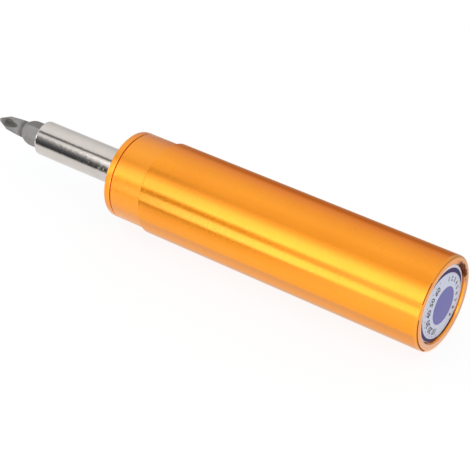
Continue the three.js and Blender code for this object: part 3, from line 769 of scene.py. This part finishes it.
# Faces inside the flutes take the darker steel, as painted shade in the recesses.
for face in bit.data.polygons:
    s, radius, _ = about_axis(face)
    in_flute = 137.6 < s < 144.9 and radius < blank_radius(s) - 0.09
    face.material_index = FLUTE_SHADE if in_flute else PHOSPHATE


# ------------------------ rear: label and plug

LABEL_DEPTH, LABEL_RISE = 0.76, 0.40  # of the dome's edge, and of its middle over that
LABEL_BACK = 0.98


def dome(radius):
    return LABEL_DEPTH - LABEL_RISE * (1 - (radius / LABEL_RIM) ** 2)


label_rows = [(dome(LABEL_RIM * k / 20), LABEL_RIM * k / 20) for k in range(20)]
label = turned("label_disc", label_rows + eased([
    (dome(LABEL_RIM * 0.99), LABEL_RIM * 0.99), (0.77, LABEL_RIM, 0.05),
    (LABEL_BACK, LABEL_RIM, 0.05), (LABEL_BACK, 0),
]), 160)
dress(label, "rear_plug", "label_film", film, ["calibration_label"])

FIGURE_DEPTH = 0.008
TICK_RADIUS = 8.5
# Each figure is (words, size, radius, degrees) and each tick (width, height, degrees).
TENS = [(str(10 * (k + 1)), 2.35, 7.0, -152 + 25 * k) for k in range(6)]
UNITS = [(str(k + 1), 1.75, 7.15, 18 + 15.5 * k) for k in range(9)]
TEN_TICKS = [(0.16, 0.42, -164.5 + 12.5 * k) for k in range(13)]
UNIT_TICKS = [(0.12, 0.3, 10.25 + 7.75 * k) for k in range(19)]


def label_figures():
    """Plain figures round the label's pale ring, with ticks outside them and halfway between."""
    work = bmesh.new()
    for words, size, radius, turn in TENS + UNITS:
        text = bpy.data.curves.new("figure", "FONT")
        text.body = words
        text.size = size * MM
        text.align_x, text.align_y = "CENTER", "CENTER"
        text.offset = 0.055 * MM
        text.extrude = FIGURE_DEPTH * MM
        text.resolution_u = 3
        holder = linked("figure", text)
        graph = bpy.context.evaluated_depsgraph_get()
        mesh = bpy.data.meshes.new_from_object(holder.evaluated_get(graph))
        place_on_label(mesh, radius, math.radians(turn))
        work.from_mesh(mesh)
        bpy.data.objects.remove(holder, do_unlink=True)
        bpy.data.curves.remove(text)
        bpy.data.meshes.remove(mesh)
    for width, height, turn in TEN_TICKS + UNIT_TICKS:
        tick = bpy.data.meshes.new("tick")
        box = bmesh.new()
        bmesh.ops.create_cube(box, size=1)
        size = (width * MM, height * MM, 2 * FIGURE_DEPTH * MM)
        bmesh.ops.scale(box, vec=size, verts=box.verts)
        box.to_mesh(tick)
        box.free()
        place_on_label(tick, TICK_RADIUS, math.radians(turn))
        work.from_mesh(tick)
        bpy.data.meshes.remove(tick)
    mesh = bpy.data.meshes.new("label_figures")
    bmesh.ops.triangulate(work, faces=work.faces)
    work.to_mesh(mesh)
    work.free()
    return linked("label_figures", mesh)


def place_on_label(mesh, radius, turn):
    """Lays a flat mesh on the dome, turned clockwise from the top as seen from behind."""
    right = Vector((0, math.cos(turn), -math.sin(turn)))
    up = Vector((0, math.sin(turn), math.cos(turn)))
    lean = math.atan(2 * LABEL_RISE * radius / LABEL_RIM ** 2)
    normal = Vector((math.cos(lean), 0, 0)) + up * math.sin(lean)
    up_leaning = up * math.cos(lean) - Vector((math.sin(lean), 0, 0))
    across, above = FIGURES_MIDDLE[0] + up.y * radius, FIGURES_MIDDLE[1] + up.z * radius
    depth = dome(math.hypot(across, above)) - 0.02
    place = Vector((REAR - depth * MM, across * MM, AXIS + above * MM))
    turned_to = Matrix((right, up_leaning, normal)).transposed().to_4x4()
    mesh.transform(Matrix.Translation(place) @ turned_to)


dress(label_figures(), "rear_plug", "label_film", ink)

PLUG, PLUG_REAR, PLUG_FRONT = 10.42, 1.05, 5.05
plug = turned("plug_cup", eased([
    (PLUG_REAR, 0), (PLUG_REAR, PLUG, 0.2), (PLUG_FRONT, PLUG, 0.2), (PLUG_FRONT, 8.95, 0.2),
    (2.65, 8.95, 0.3), (2.65, 0),
]), 128)
dress(plug, "rear_plug", "black_plastic", plastic, ["end_plug"])


# ------------------------ inside: adjuster, spring and clutch

DISC = 9.5  # radius of the washers, the spring seat, the clutch plate and the spindle's flange
SPIGOT = 6.4
KEY_SOCKET_FLOOR = 12.75

adjuster = turned("adjuster_body", [
    (KEY_SOCKET_FLOOR, 0), (KEY_SOCKET_FLOOR, 1.2), hexagonal(KEY_SOCKET_FLOOR, 4.0, 0),
    hexagonal(8.15, 4.0, 0), hexagonal(7.75, 4.3, 0),
] + eased([
    (7.75, 9.6), (7.75, 9.65, 0.03), (8.15, SCREW_ROOT),
]) + [Thread(8.15, 15.35, SCREW_ROOT, SCREW_CREST)] + eased([
    (15.35, SCREW_ROOT), (15.75, 9.65, 0.05), (15.75, 4.5, 0.1), (16.95, 4.5, 0.15), (16.95, 0),
]), 96)
dress(adjuster, "adjuster", "bright_steel", ground, ["adjuster_screw"])


def washer(name, bore, radius, rear, front, ease=0.12):
    return turned(name, eased([
        (rear, bore, ease), (rear, radius, ease), (front, radius, ease), (front, bore, ease),
    ], closed=True), 128, closed=True)


rear_washer = washer("rear_washer", 4.8, DISC, 15.95, 16.95)
dress(rear_washer, "spring_carrier", "bright_steel", ground, ["rear_thrust_washer"])
seat = turned("seat_disc", eased([
    (17.15, 0), (17.15, DISC, 0.2), (19.65, DISC, 0.2), (19.65, SPIGOT, 0.15), (23.15, SPIGOT, 0.5),
    (23.15, 0),
]), 128)
dress(seat, "spring_carrier", "bright_steel", ground, ["spring_seat"])

WIRE, COIL_RADIUS = 1.2, 8.0
SPRING_REAR, SPRING_LENGTH = 19.85, 35.66
ACTIVE_COILS, END_COILS, END_GAP = 6, 1, 0.55
COILS = ACTIVE_COILS + 2 * END_COILS
COIL_STEPS, WIRE_SIDES = 64, 20
TAPER_STEPS = 6  # of the ground wire at either end


def coil_spring(name, first, last):
    """A stretch of round wire along the CAD's own centre line: closed coils at the ends of the
    spring, open ones between. The coils are counted from the rear."""
    end_rise = END_COILS * (2 * WIRE + END_GAP)
    rise = SPRING_LENGTH - 2 * WIRE

    def station(coil):
        if coil <= END_COILS:
            return end_rise * coil / END_COILS
        if coil <= END_COILS + ACTIVE_COILS:
            return end_rise + (rise - 2 * end_rise) * (coil - END_COILS) / ACTIVE_COILS
        return rise - end_rise + end_rise * (coil - END_COILS - ACTIVE_COILS) / END_COILS

    steps = COIL_STEPS * (last - first)
    points, faces = [], []
    for i in range(steps + 1):
        coil = first + i / COIL_STEPS
        near_end = min(coil, COILS - coil) * COIL_STEPS / TAPER_STEPS
        thin = WIRE * (1 if near_end >= 1 else 0.86 + 0.14 * math.sin(near_end * math.pi / 2))
        for j in range(WIRE_SIDES):
            turn = FULL_TURN * j / WIRE_SIDES
            points.append(at(SPRING_REAR + WIRE + station(coil) + thin * math.sin(turn),
                             COIL_RADIUS + thin * math.cos(turn), FULL_TURN * coil))
    for i in range(steps):
        here, beside = i * WIRE_SIDES, (i + 1) * WIRE_SIDES
        for j in range(WIRE_SIDES):
            k = (j + 1) % WIRE_SIDES
            faces.append((here + j, here + k, beside + k, beside + j))
    faces.append(tuple(range(WIRE_SIDES)))
    faces.append(tuple(steps * WIRE_SIDES + j for j in reversed(range(WIRE_SIDES))))
    return mesh_object(name, points, faces, sharp=40)


def fit_spring(name, first, last):
    """One half of the spring, with the wire's material and its place fixed, standing in for the
    CAD's spring.
    """
    half = coil_spring(name, first, last)
    half.data.materials.append(wire.material)
    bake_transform(half)
    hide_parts("main_spring")


fit_spring("spring_rear_coils", 0, COILS // 2)
fit_spring("spring_front_coils", COILS // 2, COILS)

BALLS = 6
BALL, BALL_CIRCLE, BALL_STATION = 2.0, 6.4, 61.51
PINS = 3
PIN, PIN_CIRCLE, PIN_REAR, PIN_FRONT = 1.5, 9.8, 56.01, 62.01
PLATE_REAR, PLATE_FRONT, PLATE_BORE = 55.71, 61.71, 3.3
ball_angles = [FULL_TURN * k / BALLS for k in range(BALLS)]
pin_angles = [math.radians(30 + 120 * k) for k in range(PINS)]


def side_rod(radius, rear, front, angle, ease=0.0):
    rod = turned("rod", eased([
        (rear, 0), (rear, radius, ease), (front, radius, ease), (front, 0),
    ]), 32)
    return aside(rod, PIN_CIRCLE, angle)


def ball(name, radius, angle, rings=24):
    arc = [math.pi * k / rings for k in range(rings + 1)]
    outline = [(BALL_STATION - radius * math.cos(a), radius * math.sin(a)) for a in arc]
    return aside(turned(name, outline, 48, sharp=60), BALL_CIRCLE, angle)


plate = turned("plate_blank", eased([
    (52.21, PLATE_BORE, 0.1), (52.21, SPIGOT, 0.5), (PLATE_REAR, SPIGOT, 0.15),
    (PLATE_REAR, DISC, 0.2), (PLATE_FRONT, DISC, 0.25), (PLATE_FRONT, PLATE_BORE, 0.15),
], closed=True), 120, closed=True)
cuts = [("DIFFERENCE", ball("pocket", BALL + 0.15, a)) for a in ball_angles]
cuts += [("DIFFERENCE", side_rod(PIN + 0.3, 54.7, 62.7, a)) for a in pin_angles]
plate = whole("clutch_drum", plate, cuts)
dress(plate, "clutch", "dark_steel", oiled, ["clutch_plate"])
for k, a in enumerate(ball_angles):
    sphere = ball(f"ball_{k + 1}", BALL, a)
    dress(sphere, "clutch", "bright_steel", ground, [f"clutch_ball_{k + 1}"])
for k, a in enumerate(pin_angles):
    rod = side_rod(PIN, PIN_REAR, PIN_FRONT, a, 0.2)
    rod.name = f"key_pin_{k + 1}"
    dress(rod, "handle", "bright_steel", ground, [f"drive_pin_{k + 1}"])

# The spindle's flange carries six face ramps, each climbing as the angle falls.
TOOTH = FULL_TURN / BALLS
FIRST_FOOT = TOOTH * 0.29
RAMP_SHARE = 0.975  # of a tooth's arc; the rest is its steep wall
RAMP_INNER, RAMP_OUTER = 4.3, 8.8
FLANGE_REAR, FLANGE_FRONT, RAMP_HEIGHT = 64.2, 68.4, 1.6
SHAFT, SHAFT_FRONT = 4.0, 87.8
SPINDLE_REAR, SPINDLE_FRONT, SPINDLE_END = 52.8, 98.6, 3.0


def ramp(radius):
    def row(angle):
        t = ((FIRST_FOOT - angle) / TOOTH + 1e-6) % 1.0
        share = t / RAMP_SHARE if t <= RAMP_SHARE else (1 - t) / (1 - RAMP_SHARE)
        return FLANGE_REAR - RAMP_HEIGHT * share, radius
    return row


spindle = turned("spindle_blank", eased([
    (SPINDLE_REAR, 0), (SPINDLE_REAR, SPINDLE_END, 0.4), (FLANGE_REAR, SPINDLE_END, 0.1),
    (FLANGE_REAR, RAMP_INNER),
]) + [ramp(RAMP_INNER), ramp(RAMP_OUTER)] + eased([
    (FLANGE_REAR, RAMP_OUTER), (FLANGE_REAR, DISC, 0.2), (FLANGE_FRONT, DISC, 0.2),
    (FLANGE_FRONT, SHAFT, 0.1), (SHAFT_FRONT, SHAFT, 0.15), (SHAFT_FRONT, SPINDLE_END, 0.1),
    (SPINDLE_FRONT, SPINDLE_END, 0.4), (SPINDLE_FRONT, 0),
]), 240, start=FIRST_FOOT)
spindle = whole("spindle_shaft", spindle, [("DIFFERENCE", cross_rod(*PIN_HOLE))])
dress(spindle, "driver", "dark_steel", oiled, ["spindle"])

front_washer = washer("front_washer", 4.3, DISC, 68.6, 69.6)
dress(front_washer, "handle", "bright_steel", ground, ["front_thrust_washer"])
bush = washer("bush_sleeve", 4.15, 6.4, COLLAR_REAR, SHAFT_FRONT, 0.25)
dress(bush, "handle", "bronze", bronze, ["front_bush"])


# ------------------------ studio

PEAK = 3.5  # the level that a light of 1 in the colour ramps stands for

# The rings of light that metal sees: (degrees, level) or (degrees, red, green, blue), in degrees
# about the tool's long axis, from +Y over the top. Each is for one stretch of directions along it.
WARM_TOP = [
    (0, 0.46, 0.20, 0.05), (8, 0.52, 0.24, 0.05), (18, 0.75, 0.48, 0.26), (42, 0.94, 0.81, 0.60),
    (66, 1.04, 1.04, 0.86), (80, 1.10, 1.12, 0.96),
]
WARM_BASE = [
    (242, 1.06, 1.04, 0.8), (244, 0.82, 0.86, 1.05), (257, 0.84, 0.85, 0.95),
    (261, 0.95, 0.84, 0.55), (271, 0.96, 0.79, 0.48), (284, 0.85, 0.67, 0.44),
    (296, 0.76, 0.61, 0.46), (308, 0.87, 0.69, 0.62), (330, 0.6, 0.42, 0.3),
    (345, 0.46, 0.22, 0.1), (360, 0.46, 0.20, 0.05),
]
PLAIN_RING = [
    (0, 0.5), (18, 0.75), (42, 0.9), (66, 1.0), (80, 1.05), (110, 0.95), (118, 1.2), (126, 1.7),
    (134, 2.15), (144, 2.3), (151, 2.15), (156, 1.35), (166, 1.25), (171, 2.1), (184, 2.3),
    (188, 1.35), (198, 1.4), (214, 1.3), (234, 1.15), (254, 1.0), (290, 0.9), (318, 1.05),
    (330, 0.6), (345, 0.5), (360, 0.5),
]
REAR_RING = WARM_TOP + [
    (94, 1.03, 0.98, 0.8), (110, 1.0, 0.94, 0.7), (118, 1.28, 1.22, 1.05), (126, 1.7),
    (134, 2.15), (144, 2.3), (151, 2.3), (156, 1.65), (166, 1.45), (171, 2.1), (184, 2.3),
    (188, 1.45), (198, 1.4), (214, 1.3, 1.26, 1.0), (234, 1.12, 1.08, 0.65),
] + WARM_BASE
MIDDLE_RING = WARM_TOP + [
    (110, 1.0, 0.94, 0.7), (118, 1.22, 1.16, 1.0), (126, 1.5), (134, 2.1), (144, 2.5), (154, 2.9),
    (157, 0.42, 0.44, 0.3), (167.5, 0.42, 0.44, 0.3), (171, 2.8), (188, 3.1),
    (190.5, 0.42, 0.44, 0.3), (198, 0.72, 0.66, 0.5), (212, 1.0, 0.96, 0.8),
    (222, 1.14, 1.14, 0.95), (234, 1.1, 1.08, 0.7),
] + WARM_BASE
NOSE_RING = [
    (0, 0.46, 0.20, 0.05), (18, 0.75, 0.46, 0.2), (42, 0.95, 0.78, 0.5), (66, 1.03, 1.0, 0.7),
    (84, 1.07, 1.1, 0.8), (100, 1.0, 0.88, 0.66), (118, 0.98, 0.84, 0.6), (128, 1.3), (134, 2.2),
    (152, 2.2), (158, 1.2), (172, 0.95, 0.86, 0.7), (190, 0.95, 0.86, 0.7), (200, 1.5),
    (214, 1.3), (234, 1.05, 1.0, 0.6), (258, 0.9, 0.8, 0.55), (284, 0.8, 0.6, 0.42),
    (308, 0.87, 0.69, 0.62), (330, 0.6, 0.42, 0.3), (345, 0.46, 0.22, 0.1),
    (360, 0.46, 0.20, 0.05),
]
TIP_RING = [
    (0, 0.70), (18, 0.75), (42, 0.92), (66, 1.0), (78, 1.02), (94, 0.99), (103, 0.93),
    (107, 0.34), (113, 0.22), (118, 0.3), (121, 0.8), (127, 1.15), (135, 1.5), (142, 1.35),
    (151, 0.85), (158, 0.48), (166, 0.20, 0.205, 0.21), (174, 0.11, 0.115, 0.12),
    (184, 0.06, 0.065, 0.07), (193, 0.07), (198, 0.28), (203, 0.76), (212, 0.95), (234, 0.97),
    (270, 0.95), (330, 0.9), (360, 0.68),
]
POINT_RING = [
    (0, 0.70), (18, 0.75), (42, 0.92), (66, 1.0), (78, 1.05), (94, 1.0), (103, 0.93), (107, 0.34),
    (113, 0.2), (118, 0.28), (121, 0.7), (127, 0.9), (134, 1.0), (140, 0.75), (146, 0.48),
    (151, 0.32), (158, 0.23, 0.235, 0.24), (166, 0.14, 0.15, 0.16), (174, 0.09, 0.10, 0.11),
    (184, 0.06, 0.065, 0.07), (193, 0.07), (198, 0.25), (203, 0.76), (212, 0.95), (234, 0.97),
    (270, 0.95), (330, 0.9), (360, 0.68),
]
BEYOND_RING = [
    (0, 0.46), (18, 0.7), (42, 0.9), (66, 1.0), (80, 1.05), (94, 1.0), (110, 0.93), (120, 0.9),
    (134, 1.0), (142, 1.5), (150, 2.5), (160, 3.2), (168, 2.4), (174, 0.4), (180, 0.05),
    (188, 0.05), (193, 1.0), (198, 2.3), (206, 2.3), (216, 1.3), (234, 1.0), (258, 0.88),
    (284, 0.7), (308, 0.8), (330, 0.6), (345, 0.46), (360, 0.46),
]
# Each later ring takes over between two values of how far a direction points along the tool.
LATER_RINGS = [
    (REAR_RING, 0.28, 0.36), (MIDDLE_RING, 0.40, 0.48), (NOSE_RING, 0.5205, 0.5235),
    (TIP_RING, 0.527, 0.533), (POINT_RING, 0.548, 0.568), (BEYOND_RING, 0.605, 0.625),
]


def studio_world():
    """White all round for the camera and for soft light. Metal sees the rings of light above, as
    the rows of softboxes of such a studio."""
    world = bpy.data.worlds.new("studio")
    world.use_nodes = True
    world.node_tree.nodes.clear()
    nodes = Nodes(world.node_tree)
    direction = nodes.axes(nodes.add("ShaderNodeTexCoord").outputs["Generated"])
    angle = nodes.math("ARCTAN2", direction["Z"], direction["Y"])
    around = nodes.math("FRACT", nodes.math("DIVIDE", angle, FULL_TURN))
    along = nodes.math("MULTIPLY", direction["X"], -1)

    def ring(stops):
        node = nodes.add("ShaderNodeValToRGB")
        node.color_ramp.interpolation = "LINEAR"
        elements = node.color_ramp.elements
        elements.remove(elements[0])
        for i, (degrees, *level) in enumerate(stops):
            element = elements[0] if i == 0 else elements.new(degrees / 360)
            element.position = degrees / 360
            red, green, blue = level if len(level) == 3 else level * 3
            element.color = (red / PEAK, green / PEAK, blue / PEAK, 1)
        nodes.link(around, node.inputs["Fac"])
        return node.outputs["Color"]

    light = ring(PLAIN_RING)
    for stops, low, high in LATER_RINGS:
        light = nodes.blend(nodes.span(along, 0, 1, low, high, "SMOOTHSTEP"), light, ring(stops))
    path = nodes.add("ShaderNodeLightPath").outputs
    metal = nodes.math("MAXIMUM", path["Is Glossy Ray"], path["Is Transmission Ray"])
    strength = nodes.math("ADD", nodes.math("MULTIPLY", metal, PEAK - 1), 1)
    background = nodes.add("ShaderNodeBackground")
    nodes.link(nodes.blend(metal, (1, 1, 1), light), background.inputs["Color"])
    nodes.link(strength, background.inputs["Strength"])
    output = nodes.add("ShaderNodeOutputWorld")
    nodes.link(background.outputs[0], output.inputs["Surface"])
    world.cycles.sampling_method = "NONE"
    bpy.context.scene.world = world


studio_world()

FLOOR_HALF = 3  # metres
PAPER = (0.82, 0.82, 0.82, 1)
# What the camera sees instead: a little that takes the shadow, over a steady glow.
FAINT = (0.17, 0.14, 0.125, 1)
GLOW = (0.84, 0.87, 0.885, 1)


def floor():
    """A plain pale floor. The camera sees it near white, with the object's soft shadow."""
    work = bmesh.new()
    bmesh.ops.create_grid(work, x_segments=8, y_segments=8, size=FLOOR_HALF)
    mesh = bpy.data.meshes.new("floor")
    work.to_mesh(mesh)
    work.free()
    thing = linked("floor", mesh)
    material = bpy.data.materials.new("floor_paper")
    material.use_nodes = True
    material.node_tree.nodes.clear()
    nodes = Nodes(material.node_tree)

    def shader(kind, colour):
        node = nodes.add(kind)
        node.inputs["Color"].default_value = colour
        return node.outputs[0]

    both = nodes.add("ShaderNodeAddShader")
    nodes.link(shader("ShaderNodeBsdfDiffuse", FAINT), both.inputs[0])
    nodes.link(shader("ShaderNodeEmission", GLOW), both.inputs[1])
    path = nodes.add("ShaderNodeLightPath")
    choose = nodes.add("ShaderNodeMixShader")
    nodes.link(path.outputs["Is Camera Ray"], choose.inputs[0])
    nodes.link(shader("ShaderNodeBsdfDiffuse", PAPER), choose.inputs[1])
    nodes.link(both.outputs[0], choose.inputs[2])
    output = nodes.add("ShaderNodeOutputMaterial")
    nodes.link(choose.outputs[0], output.inputs["Surface"])
    mesh.materials.append(material)
    thing.visible_glossy = False
    thing.visible_transmission = False


floor()
bpy.context.scene.view_settings.view_transform = "Standard"
